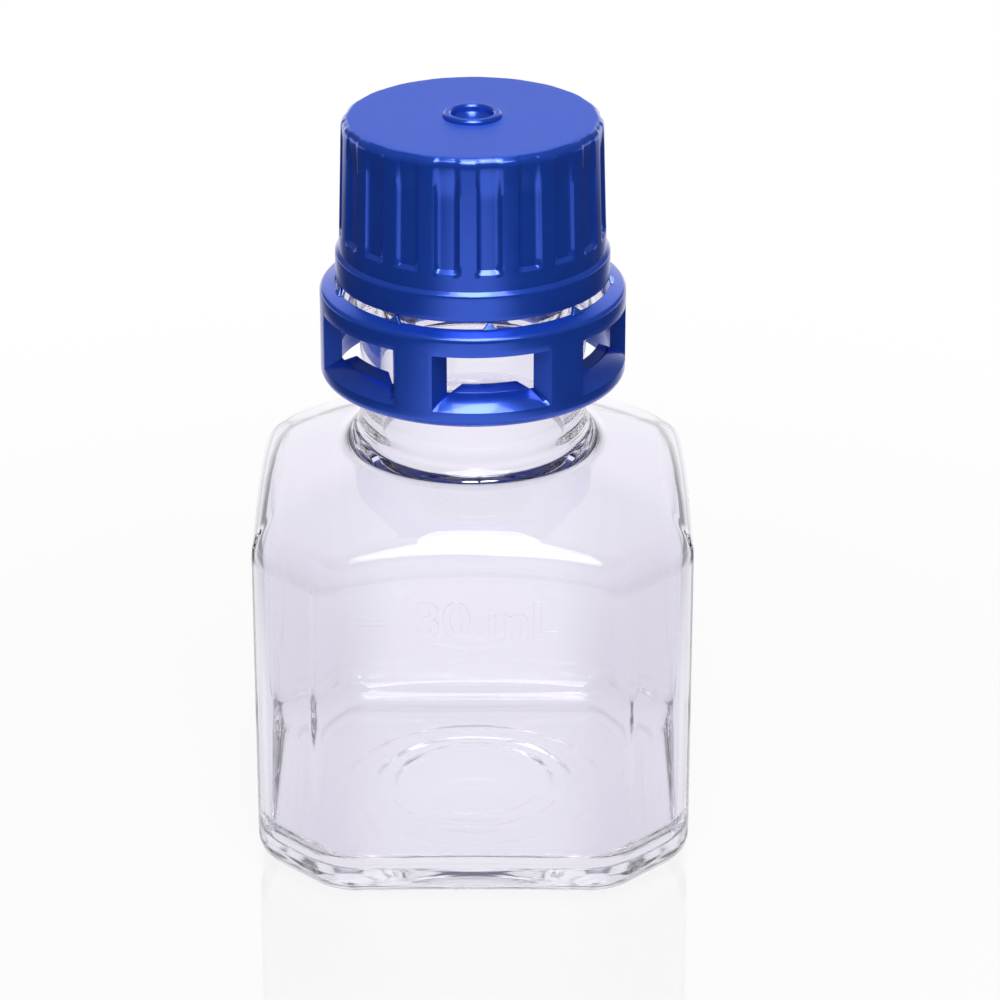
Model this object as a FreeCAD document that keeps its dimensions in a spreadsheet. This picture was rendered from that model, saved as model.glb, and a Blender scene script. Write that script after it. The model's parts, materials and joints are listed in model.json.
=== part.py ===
import FreeCAD, Part
import os
import re
import Sketcher

# A small square media bottle with a screw cap and a tamper-evident ring. Millimetres and degrees.
# The axis of the neck is Z, the bottle stands on Z = 0 and its front face looks along -Y.

SIZES = {
    # bottle: a square body with cut corners
    "body_width": 38.6,
    "corner_cut": 6.4,
    "corner_round": 4.8,
    "heel_round": 2.9,
    "body_wall": 1.3,
    "base_wall": 1.7,
    "pushup_radius": 14.0,
    "pushup_rise": 1.2,
    "base_groove_radius": 7.7,
    "base_groove_width": 1.6,
    "base_groove_depth": 0.4,
    # bottle: the domed shoulder and the neck
    "shoulder_height": 37.1,
    "dome_radius": 46.0,
    "shoulder_round": 4.4,
    "neck_radius": 9.95,
    "neck_wall": 1.8,
    "neck_root_round": 2.8,
    "throat_round": 0.8,
    "neck_height": 26.8,
    "finish_radius": 8.9,
    "bore_radius": 7.0,
    "mouth_round": 0.5,
    "bead_overhang": 1.65,
    "bead_height": 1.45,
    "bead_round": 0.3,
    # cap
    "thread_depth": 0.8,
    "thread_play": 0.35,
    "cap_wall": 1.28,
    "cap_draft": 0.35,
    "cap_top_wall": 1.55,
    "cap_height": 14.35,
    "cap_rim_round": 0.8,
    "skirt_step": 0.34,
    "skirt_height": 2.3,
    "skirt_round": 0.3,
    "flute_count": 20,
    "flute_span": 9.6,
    "flute_depth": 0.5,
    "flute_foot": 4.15,
    "flute_turn": 7.3,
    "gate_ring_radius": 2.5,
    "gate_ring_height": 0.45,
    "gate_round": 0.18,
    "gate_cup_radius": 1.95,
    "gate_cup_depth": 0.35,
    "gate_nub_radius": 0.6,
    "gate_nub_height": 0.3,
    # liner
    "liner_thickness": 0.95,
    "liner_play": 0.3,
    # tamper-evident ring
    "ring_gap": 0.55,
    "ring_height": 8.7,
    "ring_wall": 1.35,
    "ring_play": 0.47,
    "ring_top_flat": 0.3,
    "ring_top_drop": 0.95,
    "ring_top_round": 0.6,
    "ring_foot_round": 0.8,
    "window_count": 6,
    "window_turn": 7.75,
    "window_span": 45.2,
    "window_inner_span": 36.0,
    "window_sill": 1.5,
    "window_head": 2.09,
    # retaining pawls
    "pawl_slope": 40.0,
    "pawl_root": 0.85,
    "pawl_tip": 0.55,
    "pawl_tip_width": 4.7,
    "pawl_tip_gap": 1.2,
    "pawl_side_gap": 0.2,
    "pawl_hinge_gap": 0.12,
    "pawl_bead_gap": 2.45,
    # break bridges
    "bridge_count": 9,
    "bridge_turn": 7.2,
    "bridge_width": 1.3,
    "bridge_depth": 0.3,
    "bridge_point": 0.25,
    "bridge_gap": 0.06,
}

# How far past a solid a sketch that cuts it reaches, and how near an edge must be to the place asked for
SPARE = 1.0
SLACK = 0.02

# Places that follow from the sizes, each after the ones that it needs
HALF_WIDTH = "(body_width / 2)"
TURNED_REACH = f"({HALF_WIDTH} * sqrt(2) - corner_cut / sqrt(2) + 2 * {SPARE})"
DOME_CENTRE = "(shoulder_height - sqrt(dome_radius ^ 2 - neck_radius ^ 2))"
PUSHUP_ARC = "((pushup_radius ^ 2 + pushup_rise ^ 2) / (2 * pushup_rise))"
MOUTH = "(shoulder_height + neck_height)"
ABOVE_MOUTH = f"({MOUTH} + {SPARE})"
CAP_TOP = f"({MOUTH} + liner_thickness + cap_top_wall)"
CAP_FOOT = f"({CAP_TOP} - cap_height)"
CAP_BORE = "(finish_radius + thread_depth + thread_play)"
CAP_RADIUS = f"({CAP_BORE} + cap_wall)"
SKIRT_RADIUS = f"({CAP_RADIUS} + cap_draft + skirt_step)"
RING_TOP = f"({CAP_FOOT} - ring_gap)"
RING_FOOT = f"({RING_TOP} - ring_height)"
RING_BORE = "(neck_radius + bead_overhang + ring_play)"
RING_RADIUS = f"({RING_BORE} + ring_wall)"
SILL = f"({RING_FOOT} + window_sill)"
WINDOW_TOP = f"({RING_TOP} - window_head)"
PAWL_TIP_RADIUS = "(neck_radius + pawl_tip_gap)"
PAWL_TIP_TOP = f"({SILL} + ({RING_RADIUS} - {PAWL_TIP_RADIUS}) * tan(pawl_slope))"
BEAD_UNDERSIDE = f"({PAWL_TIP_TOP} + pawl_bead_gap)"
BEAD_MIDDLE = f"({BEAD_UNDERSIDE} + bead_height / 2)"
BEAD_RADIUS = "(neck_radius + bead_overhang)"

doc = FreeCAD.newDocument("media_bottle")
sheet = doc.addObject("Spreadsheet::Sheet", "sizes")
for row, (name, size) in enumerate(SIZES.items(), start=1):
    sheet.set(f"A{row}", name)
    sheet.set(f"B{row}", str(size))
    sheet.setAlias(f"B{row}", name)
doc.recompute()


def tied(expression):
    """The expression with each size pointed at its cell in the sheet."""
    def cell(word):
        return f"sizes.{word[0]}" if word[0] in SIZES else word[0]

    return re.sub(r"[a-z_]+", cell, str(expression))


def value(expression):
    """What an expression comes to with the sheet as it stands."""
    return float(sheet.evalExpression(tied(expression)))


def bind(feature, **settings):
    for setting, expression in settings.items():
        feature.setExpression(setting, tied(expression))


def new_body(name):
    body = doc.addObject("PartDesign::Body", name)
    body.Label = name
    return body


def origin_feature(body, role):
    return next(part for part in body.Origin.OriginFeatures if part.Role == role)


def vertex_of(sketch, side, point):
    """1 or 2, the end of a side that lies at the point."""
    return min((1, 2), key=lambda vertex: sketch.getPoint(side, vertex).distanceToPoint(point))


def pin(sketch, side, vertex, direction, expression):
    """Hold one coordinate of a corner, on the axis where it is zero."""
    if expression == 0:
        axis = -2 if direction == "DistanceX" else -1
        sketch.addConstraint(Sketcher.Constraint("PointOnObject", side, vertex, axis))
        return
    held = Sketcher.Constraint(direction, -1, 1, side, vertex, value(expression))
    sketch.setExpression(f"Constraints[{sketch.addConstraint(held)}]", tied(expression))


def outline(body, name, plane, *loops, lift=0):
    """A sketch of closed loops through corners given as expressions.

    The side that leaves a corner is straight, or an arc centred on the vertical axis where it says so.
    """
    sketch = body.newObject("Sketcher::SketchObject", name)
    sketch.AttachmentSupport = [(origin_feature(body, plane), "")]
    sketch.MapMode = "FlatFace"
    if lift:
        sketch.setExpression("AttachmentOffset.Base.z", tied(lift))
    for corners in loops:
        points = [FreeCAD.Vector(value(corner[0]), value(corner[1]), 0) for corner in corners]
        sides = []
        for start, end, corner in zip(points, points[1:] + points[:1], corners):
            if corner[-1] == "arc":
                centre_y = (start.x**2 + start.y**2 - end.x**2 - end.y**2) / (2 * (start.y - end.y))
                centre = FreeCAD.Vector(0, centre_y, 0)
                crown = centre + ((start + end) / 2 - centre).normalize() * (start - centre).Length
                side = sketch.addGeometry(Part.Arc(start, crown, end), False)
                sketch.addConstraint(Sketcher.Constraint("PointOnObject", side, 3, -2))
            else:
                side = sketch.addGeometry(Part.LineSegment(start, end), False)
            sides.append(side)
        for before, side, point, corner in zip(sides[-1:] + sides[:-1], sides, points, corners):
            vertex = vertex_of(sketch, side, point)
            meeting = vertex_of(sketch, before, point)
            sketch.addConstraint(Sketcher.Constraint("Coincident", before, meeting, side, vertex))
            pin(sketch, side, vertex, "DistanceX", corner[0])
            pin(sketch, side, vertex, "DistanceY", corner[1])
    return sketch


def pad(body, sketch, length):
    feature = body.newObject("PartDesign::Pad", sketch.Name + "_pad")
    feature.Profile = sketch
    bind(feature, Length=length)
    doc.recompute()
    return feature


def pocket_up(body, sketch, depth):
    """Cut from the sketch upwards."""
    feature = body.newObject("PartDesign::Pocket", sketch.Name + "_cut")
    feature.Profile = sketch
    feature.Reversed = True
    bind(feature, Length=depth)
    doc.recompute()
    return feature


def turned(body, kind, sketch, angle=360):
    """Turn a sketch about the neck's axis, to add (Revolution) or to cut (Groove)."""
    feature = body.newObject(f"PartDesign::{kind}", sketch.Name + "_turn")
    feature.Profile = sketch
    feature.ReferenceAxis = (sketch, ["V_Axis"])
    feature.Midplane = angle != 360
    bind(feature, Angle=angle)
    doc.recompute()
    return feature


def around(body, feature, count):
    """Repeat a cut evenly about the neck's axis."""
    pattern = body.newObject("PartDesign::PolarPattern", feature.Name + "_around")
    pattern.Originals = [feature]
    pattern.Axis = (origin_feature(body, "Z_Axis"), [""])
    pattern.Angle = 360
    bind(pattern, Occurrences=count)
    body.Tip = pattern
    doc.recompute()
    return pattern


def rounded(body, name, radius, wanted):
    """Round the edges of the body's last feature with the wanted ends, each a radius and a height."""
    base = body.Tip
    edges = []
    for number, edge in enumerate(base.Shape.Edges, start=1):
        if wanted([((corner.X**2 + corner.Y**2) ** 0.5, corner.Z) for corner in edge.Vertexes]):
            edges.append(f"Edge{number}")
    if not edges:
        raise RuntimeError(f"no edge to round for {name}")
    feature = body.newObject("PartDesign::Fillet", name)
    feature.Base = (base, edges)
    bind(feature, Radius=radius)
    doc.recompute()
    return feature


def upright(ends):
    return abs(ends[0][1] - ends[-1][1]) > SPARE


def within(low, high, clear=0):
    """A test for edges that lie between two heights, and further from the axis than a clear radius."""
    return lambda ends: all(value(low) < z < value(high) and r > value(clear) for r, z in ends)


def ring_at(radius, height):
    """A test for the circular edge at a radius and a height."""
    return lambda ends: all(near(r, radius) and near(z, height) for r, z in ends)


def near(a, expression):
    return abs(a - value(expression)) < SLACK


def cut_square(width, cut):
    """The corners of a square with cut corners, of a given half width."""
    flat = f"({width} - {cut})"
    signs = [(1, -1), (1, 1), (-1, 1), (-1, -1)]
    corners = []
    for x, y in signs:
        near_x = (f"{x} * {flat}", f"{y} * {width}")
        near_y = (f"{x} * {width}", f"{y} * {flat}")
        corners += [near_x, near_y] if x * y < 0 else [near_y, near_x]
    return corners


def dome(inset, r):
    """Height of the dome, or of a dome set in by the wall, at a radius."""
    return f"({DOME_CENTRE} + sqrt((dome_radius - {inset}) ^ 2 - {r} ^ 2))"


def pushup(r):
    """Height of the hollow under the base at a radius."""
    return f"(pushup_rise - {PUSHUP_ARC} + sqrt({PUSHUP_ARC} ^ 2 - {r} ^ 2))"


def rising_body(name, floor, width, cut, corner_round, profile):
    """The cut square on its floor, with its upright edges rounded, turned to a profile at the shoulder."""
    body = new_body(name)
    plan = outline(body, name + "_plan", "XY_Plane", cut_square(width, cut), lift=floor)
    pad(body, plan, f"{MOUTH} + {SPARE} / 2 - {floor}")
    rounded(body, name + "_uprights", corner_round, upright)
    turned(body, "Groove", outline(body, name + "_shoulder", "XZ_Plane", profile))
    return body


def bottle_outside():
    profile = [
        ("neck_radius", "shoulder_height", "arc"),
        (TURNED_REACH, dome(0, TURNED_REACH)),
        (TURNED_REACH, ABOVE_MOUTH),
        (0, ABOVE_MOUTH),
        (0, MOUTH),
        ("finish_radius", MOUTH),
        ("finish_radius", f"{BEAD_UNDERSIDE} + bead_height"),
        (BEAD_RADIUS, BEAD_MIDDLE),
        (BEAD_RADIUS, BEAD_UNDERSIDE),
        ("neck_radius", BEAD_UNDERSIDE),
    ]
    body = rising_body("bottle_outside", 0, HALF_WIDTH, "corner_cut", "corner_round", profile)
    shoulder_edge = within("shoulder_height / 2", "shoulder_height", BEAD_RADIUS)
    rounded(body, "shoulder_edge", "shoulder_round", shoulder_edge)
    rounded(body, "heel_edge", "heel_round", within(-SPARE, SPARE))
    rounded(body, "neck_root", "neck_root_round", ring_at("neck_radius", "shoulder_height"))
    rounded(body, "bead_crest", "bead_round", ring_at(BEAD_RADIUS, BEAD_MIDDLE))
    rounded(body, "bead_lip", "bead_round", ring_at(BEAD_RADIUS, BEAD_UNDERSIDE))
    rounded(body, "mouth_edge", "mouth_round", ring_at("finish_radius", MOUTH))
    groove_in = "(base_groove_radius - base_groove_width / 2)"
    groove_out = "(base_groove_radius + base_groove_width / 2)"
    flat_half = "base_groove_width / 4"
    groove_top = "(pushup_rise + base_groove_depth)"
    hollow = [
        ("pushup_radius", 0, "arc"),
        (groove_out, pushup(groove_out)),
        (f"base_groove_radius + {flat_half}", groove_top),
        (f"base_groove_radius - {flat_half}", groove_top),
        (groove_in, pushup(groove_in), "arc"),
        (0, "pushup_rise"),
        (0, -SPARE),
        ("pushup_radius", -SPARE),
    ]
    turned(body, "Groove", outline(body, "pushup", "XZ_Plane", hollow))
    return body


def bottle_cavity():
    floor = "base_wall"
    inner_cut = "(corner_cut - (2 - sqrt(2)) * body_wall)"
    throat = "(neck_radius - neck_wall)"
    profile = [
        (throat, dome("body_wall", throat), "arc"),
        (TURNED_REACH, dome("body_wall", TURNED_REACH)),
        (TURNED_REACH, ABOVE_MOUTH),
        ("bore_radius", ABOVE_MOUTH),
        ("bore_radius", BEAD_UNDERSIDE),
        (throat, f"{BEAD_UNDERSIDE} - neck_wall"),
    ]
    inner_round = "max(corner_round - body_wall; body_wall / 2)"
    body = rising_body("bottle_cavity", floor, f"({HALF_WIDTH} - body_wall)", inner_cut, inner_round, profile)
    inner_shoulder = "max(shoulder_round - body_wall; body_wall / 2)"
    inner_heel = "max(heel_round - body_wall; body_wall / 2)"
    shoulder_edge = within("shoulder_height / 2", "shoulder_height", "neck_radius")
    rounded(body, "inner_shoulder", inner_shoulder, shoulder_edge)
    rounded(body, "inner_heel", inner_heel, within(0, f"{floor} + {SPARE}"))
    rounded(body, "inner_throat", "throat_round", ring_at(throat, dome("body_wall", throat)))
    crown = [
        ("pushup_radius", floor, "arc"),
        (0, f"{floor} + pushup_rise"),
        (0, f"{floor} - {SPARE}"),
        ("pushup_radius", f"{floor} - {SPARE}"),
    ]
    turned(body, "Groove", outline(body, "inner_pushup", "XZ_Plane", crown))
    return body


def make_bottle():
    bottle = doc.addObject("Part::Cut", "bottle")
    bottle.Label = "bottle"
    bottle.Base = bottle_outside()
    bottle.Tool = bottle_cavity()
    return bottle


def make_cap():
    body = new_body("cap_shell")
    cup = f"{CAP_TOP} - gate_cup_depth"
    rim = f"{CAP_TOP} + gate_ring_height"
    foot_radius = f"{CAP_RADIUS} + cap_draft"
    section = [
        (0, f"{MOUTH} + liner_thickness"),
        (CAP_BORE, f"{MOUTH} + liner_thickness"),
        (CAP_BORE, CAP_FOOT),
        (SKIRT_RADIUS, CAP_FOOT),
        (SKIRT_RADIUS, f"{CAP_FOOT} + skirt_height"),
        (foot_radius, f"{CAP_FOOT} + skirt_height + skirt_step"),
        (CAP_RADIUS, CAP_TOP),
        ("gate_ring_radius", CAP_TOP),
        ("gate_ring_radius", rim),
        ("gate_cup_radius", rim),
        ("gate_cup_radius", cup),
        ("gate_nub_radius", cup),
        ("gate_nub_radius", f"{cup} + gate_nub_height"),
        (0, f"{cup} + gate_nub_height"),
    ]
    turned(body, "Revolution", outline(body, "cap_section", "XZ_Plane", section))
    rounded(body, "cap_rim", "cap_rim_round", ring_at(CAP_RADIUS, CAP_TOP))
    rounded(body, "skirt_edge", "skirt_round", ring_at(SKIRT_RADIUS, f"{CAP_FOOT} + skirt_height"))
    rounded(body, "gate_edge", "gate_round", within(f"{CAP_TOP} + gate_round", f"{CAP_TOP} + {SPARE}"))
    ledge = f"{CAP_FOOT} + flute_foot"
    flute = [
        (f"{CAP_RADIUS} - flute_depth", f"{CAP_TOP} + {SPARE}"),
        (f"{foot_radius} - flute_depth", f"{ledge} + flute_depth"),
        (f"{foot_radius} + {SPARE}", f"{ledge} - {SPARE}"),
        (f"{foot_radius} + {SPARE}", f"{CAP_TOP} + {SPARE}"),
    ]
    cut = turned(body, "Groove", outline(body, "flute", "XZ_Plane", flute), "flute_span")
    around(body, cut, "flute_count")
    body.setExpression("Placement.Rotation.Angle", tied("flute_turn - 90"))
    return body


def make_liner():
    liner = doc.addObject("Part::Cylinder", "sealing_liner")
    liner.Label = "sealing_liner"
    bind(liner, Radius=f"{CAP_BORE} - liner_play", Height="liner_thickness")
    liner.setExpression("Placement.Base.z", tied(MOUTH))
    return liner


def window_corner(radius, span, side):
    return (f"{radius} * cos({span} / 2)", f"{side} * {radius} * sin({span} / 2)")


def make_ring():
    body = new_body("tamper_ring")
    slope_foot = f"({RING_TOP} - ring_top_drop)"
    section = [
        (RING_BORE, RING_FOOT),
        (RING_RADIUS, RING_FOOT),
        (RING_RADIUS, slope_foot),
        (f"{RING_BORE} + ring_top_flat", RING_TOP),
        (RING_BORE, RING_TOP),
    ]
    turned(body, "Revolution", outline(body, "ring_section", "XZ_Plane", section))
    rounded(body, "ring_shoulder", "ring_top_round", ring_at(RING_RADIUS, slope_foot))
    rounded(body, "ring_foot", "ring_foot_round", ring_at(RING_RADIUS, RING_FOOT))
    inner_low, inner_high = [window_corner(RING_BORE, "window_inner_span", side) for side in (-1, 1)]
    outer_low, outer_high = [window_corner(RING_RADIUS, "window_span", side) for side in (-1, 1)]
    splay = [
        (f"{inner_low[0]} - {SPARE}", inner_low[1]),
        inner_low,
        outer_low,
        (f"{RING_RADIUS} + {SPARE}", outer_low[1]),
        (f"{RING_RADIUS} + {SPARE}", outer_high[1]),
        outer_high,
        inner_high,
        (f"{inner_high[0]} - {SPARE}", inner_high[1]),
    ]
    cut = pocket_up(body, outline(body, "window", "XY_Plane", splay, lift=SILL), f"{WINDOW_TOP} - {SILL}")
    around(body, cut, "window_count")
    ramp = [
        (RING_BORE, f"{SILL} - {SPARE}"),
        (RING_RADIUS, SILL),
        (RING_BORE, f"{SILL} + ring_wall * tan(pawl_slope)"),
    ]
    turned(body, "Revolution", outline(body, "sill_ramp", "XZ_Plane", ramp))
    body.setExpression("Placement.Rotation.Angle", tied("window_turn - 90"))
    return body


def make_pawl(number):
    """A ramp plate hinged on the sill of its window, its tip close to the neck and under the bead."""
    body = new_body(f"retaining_pawl_{number}")
    root = f"({RING_BORE} - pawl_hinge_gap)"
    root_top = f"({SILL} + ({RING_RADIUS} - {root}) * tan(pawl_slope))"
    section = [
        (root, f"{root_top} - pawl_root"),
        (root, root_top),
        (PAWL_TIP_RADIUS, PAWL_TIP_TOP),
        (PAWL_TIP_RADIUS, f"{PAWL_TIP_TOP} - pawl_tip"),
    ]
    turned(body, "Revolution", outline(body, body.Name + "_section", "XZ_Plane", section), "window_span")
    root_half = f"({RING_BORE} * sin(window_inner_span / 2) - pawl_side_gap)"
    inside = f"({PAWL_TIP_RADIUS} * cos(window_span / 2) - {SPARE})"
    flanks = []
    for side in (-1, 1):
        flanks.append([
            (inside, f"{side} * pawl_tip_width / 2"),
            (PAWL_TIP_RADIUS, f"{side} * pawl_tip_width / 2"),
            (root, f"{side} * {root_half}"),
            (root, f"{side} * {root}"),
            (inside, f"{side} * {root}"),
        ])
    sides = outline(body, body.Name + "_flanks", "XY_Plane", *flanks, lift=SILL)
    pocket_up(body, sides, "ring_height")
    place = f"window_turn - 90 + 360 / window_count * {number - 1}"
    body.setExpression("Placement.Rotation.Angle", tied(place))
    return body


def oblong(low, high, half_width):
    return [(low, f"-({half_width})"), (high, f"-({half_width})"), (high, half_width), (low, half_width)]


def make_bridge(number):
    """A wedge on the ring's top that comes to a point under the cap's edge, where it tears."""
    body = new_body(f"break_bridge_{number}")
    base = oblong(RING_BORE, f"{RING_BORE} + bridge_depth", "bridge_width / 2")
    point = oblong(f"{SKIRT_RADIUS} - bridge_depth", SKIRT_RADIUS, "bridge_point / 2")
    loft = body.newObject("PartDesign::AdditiveLoft", body.Name + "_wedge")
    loft.Profile = outline(body, body.Name + "_base", "XY_Plane", base, lift=RING_TOP)
    loft.Sections = [outline(body, body.Name + "_point", "XY_Plane", point, lift=f"{CAP_FOOT} - bridge_gap")]
    loft.Ruled = True
    place = f"bridge_turn - 90 + 360 / bridge_count * {number - 1}"
    body.setExpression("Placement.Rotation.Angle", tied(place))
    return body


pieces = [make_bottle(), make_cap(), make_liner(), make_ring()]
pieces += [make_pawl(number) for number in range(1, int(value("window_count")) + 1)]
pieces += [make_bridge(number) for number in range(1, int(value("bridge_count")) + 1)]
doc.recompute()

for thing in doc.Objects:
    if "Invalid" in thing.State or "Error" in thing.State:
        raise RuntimeError(f"{thing.Label} failed: {thing.State}")
for piece in pieces:
    if piece.Shape.isNull() or not piece.Shape.isValid():
        raise RuntimeError(f"{piece.Label} has no valid shape")

os.makedirs("parts", exist_ok=True)
for piece in pieces:
    shape = piece.Shape
    shape.exportStep(f"parts/{piece.Label}.step")
    reach = f"z {shape.BoundBox.ZMin:.2f} to {shape.BoundBox.ZMax:.2f}"
    print(f"{piece.Label}: {len(shape.Solids)} solid, {shape.Volume:.2f} mm3, {reach}")
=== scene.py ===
# %% [markdown]
# # A small square media bottle with a tamper-evident cap
#
# The packed CAD model is a fixed frame: it says where each piece is, how large it is and how it moves.
# This lesson dresses that frame. Every piece is made again as a finer mesh on the same main sizes, gets
# a finish from shader nodes, and is parented to an empty named after the CAD body that it belongs to.

# %% Load the frame
import json
import math

import bmesh
import bpy
import numpy as np
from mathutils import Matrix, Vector


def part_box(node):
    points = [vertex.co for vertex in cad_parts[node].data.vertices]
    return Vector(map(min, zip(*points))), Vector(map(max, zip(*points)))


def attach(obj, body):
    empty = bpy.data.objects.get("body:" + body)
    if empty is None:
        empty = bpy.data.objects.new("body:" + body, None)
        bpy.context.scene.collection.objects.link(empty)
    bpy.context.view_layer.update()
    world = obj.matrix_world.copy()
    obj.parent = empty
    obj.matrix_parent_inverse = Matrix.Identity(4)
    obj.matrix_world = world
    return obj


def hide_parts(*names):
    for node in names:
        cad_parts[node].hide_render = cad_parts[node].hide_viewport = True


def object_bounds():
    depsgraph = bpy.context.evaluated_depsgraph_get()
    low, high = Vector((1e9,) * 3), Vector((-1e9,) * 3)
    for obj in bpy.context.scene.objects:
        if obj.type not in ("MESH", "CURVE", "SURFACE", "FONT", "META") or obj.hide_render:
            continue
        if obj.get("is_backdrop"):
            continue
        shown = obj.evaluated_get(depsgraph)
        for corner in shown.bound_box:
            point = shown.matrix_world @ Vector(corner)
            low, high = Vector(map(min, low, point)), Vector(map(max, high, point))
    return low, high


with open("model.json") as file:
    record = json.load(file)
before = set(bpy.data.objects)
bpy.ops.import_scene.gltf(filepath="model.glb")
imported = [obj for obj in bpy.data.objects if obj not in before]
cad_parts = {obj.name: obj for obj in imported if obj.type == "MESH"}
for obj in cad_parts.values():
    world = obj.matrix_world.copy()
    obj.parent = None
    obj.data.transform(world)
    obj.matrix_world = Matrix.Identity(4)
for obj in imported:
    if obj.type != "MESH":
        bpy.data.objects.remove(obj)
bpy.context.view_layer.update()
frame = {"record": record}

MM = 0.001

# %% [markdown]
# ## Sizes
#
# A size that the frame can tell is read from the box of its CAD node, so the dressed part always fits
# the CAD part. The others, such as walls and fillets, are named where a piece first needs them, in
# millimetres.

# %% Read the main sizes off the frame


def reach(node):
    """Lowest and highest corner of a CAD node, in millimetres."""
    low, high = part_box(node)
    return np.array(low) / MM, np.array(high) / MM


bottle_high = reach("bottle")[1]
cap_low, cap_high = reach("cap_shell")
liner_low, liner_high = reach("sealing_liner")
ring_low, ring_high = reach("tamper_ring")

HALF_WIDTH = bottle_high[0]
MOUTH = bottle_high[2]
CAP_FOOT = cap_low[2]
SKIRT_RADIUS = cap_high[0]
CEILING = liner_high[2]
RING_RADIUS = ring_high[0]
RING_FOOT = ring_low[2]
RING_TOP = ring_high[2]
print(f"body {2 * HALF_WIDTH:.1f} wide; heights: mouth {MOUTH:.1f}, cap {CAP_FOOT:.2f}, ring {RING_FOOT:.2f}")

# %% [markdown]
# ## Camera
#
# The photograph looks down on the bottle from about 24 degrees with a long lens. A pinhole model was
# fitted to the outlines of the cap, the ring and the body, and gave the angle, the distance and the
# point in the middle of the picture. A long lens far away keeps the upright edges nearly parallel, as
# they are in the photograph.

# %% Place the camera
PITCH = math.radians(24.22)
CAMERA_DISTANCE = 376.4 * MM
AIM = Vector((2.38, 0, 30.2)) * MM
LENS = 151.3

camera_data = bpy.data.cameras.new("camera")
camera_data.lens = LENS
camera = bpy.data.objects.new("camera", camera_data)
camera.location = AIM + CAMERA_DISTANCE * Vector((0, -math.cos(PITCH), math.sin(PITCH)))
camera.rotation_euler = (math.pi / 2 - PITCH, 0, 0)
bpy.context.scene.collection.objects.link(camera)
bpy.context.scene.camera = camera
bpy.context.scene.view_settings.view_transform = "Standard"
print("camera at", [round(value, 4) for value in camera.location])

# %% [markdown]
# ## Shader maths as plain expressions
#
# A finish is a sum of small effects: a mask times a strength, one minus a mask, and so on. Wiring Math
# nodes by hand hides such a sum, so one small class wraps a socket and turns +, - and * into Math
# nodes. Every other node comes from its one method, which sets the node up first and then fills its
# sockets with values or links.

# %% The class that wraps a socket


class Signal:
    """One output of a node. Arithmetic on it adds Math nodes to its tree."""

    def __init__(self, socket):
        self.socket = socket
        self.tree = socket.id_data

    @staticmethod
    def node(tree, kind, settings=None, inputs=None, output=None):
        """Add a node, set it up, fill its sockets and give back one of its outputs."""
        made = tree.nodes.new(kind)
        for name, value in (settings or {}).items():
            setattr(made, name, value)
        for name, value in (inputs or {}).items():
            socket = Signal.find(made.inputs, name)
            if isinstance(value, Signal):
                tree.links.new(value.socket, socket)
            else:
                socket.default_value = value
        if made.outputs:
            return Signal(Signal.find(made.outputs, output))
        return None

    @staticmethod
    def find(sockets, name):
        """The socket in use with that name or number, or the first in use."""
        in_use = [socket for socket in sockets if socket.enabled]
        if isinstance(name, int):
            return in_use[name]
        return next(socket for socket in in_use if name in (None, socket.name))

    def math(self, operation, *values):
        return Signal.node(self.tree, "ShaderNodeMath", {"operation": operation}, dict(enumerate(values)))

    def __add__(self, other):
        return self.math("ADD", self, other)

    def __radd__(self, other):
        return self.math("ADD", other, self)

    def __sub__(self, other):
        return self.math("SUBTRACT", self, other)

    def __rsub__(self, other):
        return self.math("SUBTRACT", other, self)

    def __mul__(self, other):
        return self.math("MULTIPLY", self, other)

    def __rmul__(self, other):
        return self.math("MULTIPLY", other, self)

    def size(self):
        """The value without its sign."""
        return self.math("ABSOLUTE", self)

    def towards(self, other, share):
        """This value where the share is 0, the other where it is 1."""
        return self + (other - self) * share

    def either(self, other):
        """The larger of two masks."""
        return self.math("MAXIMUM", self, other)

    def eased(self, start, end, low=0.0, high=1.0):
        """A smooth step from low, at start, to high, at end."""
        limits = {"From Min": start, "From Max": end, "To Min": low, "To Max": high}
        return Signal.node(
            self.tree, "ShaderNodeMapRange", {"interpolation_type": "SMOOTHSTEP"}, {"Value": self, **limits}
        )


def blend(tree, share, first, second):
    """A colour between two others."""
    return Signal.node(
        tree, "ShaderNodeMix", {"data_type": "RGBA"}, {"Factor": share, "A": first, "B": second}, "Result"
    )


def split(tree, vector):
    """The three parts of a vector."""
    return [
        Signal.node(tree, "ShaderNodeSeparateXYZ", inputs={"Vector": vector}, output=axis) for axis in "XYZ"
    ]


operators = [name for name in vars(Signal) if name.endswith(("add__", "sub__", "mul__"))]
print("operators:", operators)

# %% [markdown]
# ## The studio
#
# The photograph has softboxes overhead and in front, a white sheet that rises behind the bottle, and a
# dim room. That is why the top of the cap is pale, its walls are deep blue and the shoulder carries one
# broad white highlight. One lamp can't give that highlight its slanted ends, so two area lamps share
# it: a square one turned by 45 degrees in front and a long oval one overhead. The world is white to the
# camera. Gloss sees a dim room with a white backdrop, and clear plastic sees white that fades to the
# sides and overhead in front. The floor keeps the shadow and a faint reflection, and both gloss and
# clear plastic see a lit patch on it.

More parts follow.
